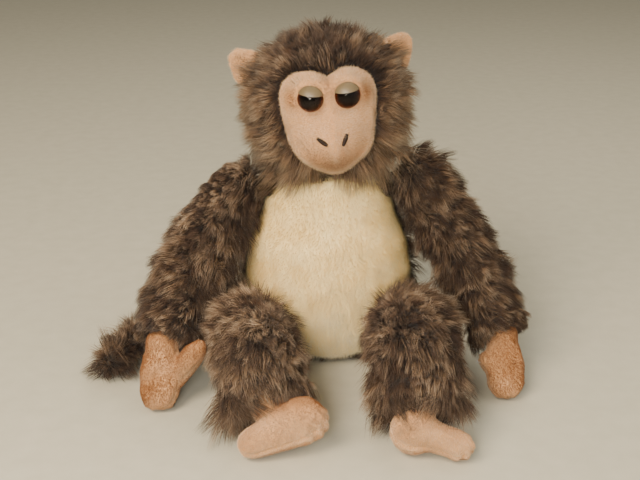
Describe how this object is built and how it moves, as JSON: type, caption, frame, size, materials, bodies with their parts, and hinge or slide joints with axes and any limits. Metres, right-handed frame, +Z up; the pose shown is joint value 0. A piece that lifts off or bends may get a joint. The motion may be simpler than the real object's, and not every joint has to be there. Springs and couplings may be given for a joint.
{
  "type": "plush monkey",
  "caption": "Seated plush monkey with shaggy brown fur, cream belly, velour face, ears, hands and feet, half-lidded plastic eyes, and a head, limbs and tail that turn at their seams.",
  "frame": {"origin": "middle of the flat seat, on the surface that the toy sits on", "axes": "+Z up, -Y the way that the toy faces, +X its own left"},
  "size_m": [0.2667, 0.22, 0.2087],
  "materials": {
    "brown_fur": "long shaggy pile with dark roots and tan tips",
    "cream_plush": "short cream plush pile",
    "peach_velour": "shorn peach velour",
    "fibrefill": "loose white polyester fibre",
    "clear_plastic": "clear polished plastic",
    "brown_plastic": "red-brown iris round a black pupil, painted on plastic",
    "olive_plastic": "smooth olive plastic",
    "white_plastic": "plain moulded plastic",
    "dark_thread": "satin-stitched embroidery thread"
  },
  "bodies": {
    "torso": {"back_panel": "brown_fur", "belly_panel": "cream_plush", "torso_filling": "fibrefill"},
    "head": {"head_hood": "brown_fur", "face_panel": "peach_velour", "head_filling": "fibrefill", "eye_disc_left": "brown_plastic", "eye_dome_left": "clear_plastic", "eye_washer_left": "white_plastic", "eyelid_left": "olive_plastic", "nostril_stitch_left": "dark_thread", "ear_left": "peach_velour", "eye_disc_right": "brown_plastic", "eye_dome_right": "clear_plastic", "eye_washer_right": "white_plastic", "eyelid_right": "olive_plastic", "nostril_stitch_right": "dark_thread", "ear_right": "peach_velour"},
    "tail": {"tail_sleeve": "brown_fur", "tail_filling": "fibrefill"},
    "arm_left": {"arm_sleeve_left": "brown_fur", "arm_filling_left": "fibrefill"},
    "hand_left": {"hand_left": "peach_velour", "hand_filling_left": "fibrefill"},
    "leg_left": {"leg_sleeve_left": "brown_fur", "leg_filling_left": "fibrefill"},
    "foot_left": {"foot_left": "peach_velour", "foot_filling_left": "fibrefill"},
    "arm_right": {"arm_sleeve_right": "brown_fur", "arm_filling_right": "fibrefill"},
    "hand_right": {"hand_right": "peach_velour", "hand_filling_right": "fibrefill"},
    "leg_right": {"leg_sleeve_right": "brown_fur", "leg_filling_right": "fibrefill"},
    "foot_right": {"foot_right": "peach_velour", "foot_filling_right": "fibrefill"}
  },
  "joints": [
    {"name": "neck_turn", "type": "hinge", "parent": "torso", "child": "head", "pos_m": [0.002, 0, 0.123], "axis": [-0.0869, -0.0061, 0.9962], "range_deg": [-35, 35]},
    {"name": "shoulder_left", "type": "hinge", "parent": "torso", "child": "arm_left", "pos_m": [0.0575, 0, 0.113], "axis": [-1, 0, 0], "range_deg": [-20, 115]},
    {"name": "shoulder_right", "type": "hinge", "parent": "torso", "child": "arm_right", "pos_m": [-0.05767, 0, 0.108], "axis": [-1, 0, 0], "range_deg": [-14, 115]},
    {"name": "wrist_left", "type": "hinge", "parent": "arm_left", "child": "hand_left", "pos_m": [0.10585, -0.05069, 0.02949], "axis": [-1, 0, 0], "range_deg": [-25, 15]},
    {"name": "wrist_right", "type": "hinge", "parent": "arm_right", "child": "hand_right", "pos_m": [-0.09835, -0.06758, 0.03277], "axis": [-1, 0, 0], "range_deg": [-25, 15]},
    {"name": "hip_left", "type": "hinge", "parent": "torso", "child": "leg_left", "pos_m": [0.04935, -0.04935, 0.026], "axis": [-1, 0, 0], "range_deg": [-40, 22]},
    {"name": "hip_right", "type": "hinge", "parent": "torso", "child": "leg_right", "pos_m": [-0.04935, -0.04935, 0.026], "axis": [-1, 0, 0], "range_deg": [-40, 22]},
    {"name": "ankle_left", "type": "hinge", "parent": "leg_left", "child": "foot_left", "pos_m": [0.04935, -0.12135, 0.021], "axis": [-1, 0, 0], "range_deg": [-30, 3]},
    {"name": "ankle_right", "type": "hinge", "parent": "leg_right", "child": "foot_right", "pos_m": [-0.03315, -0.1195, 0.021], "axis": [-0.9744, -0.225, 0], "range_deg": [-30, 3]},
    {"name": "tail_swing", "type": "hinge", "parent": "torso", "child": "tail", "pos_m": [-0.00689, 0.04904, 0.013], "axis": [0, 0, -1], "range_deg": [0, 100]}
  ]
}
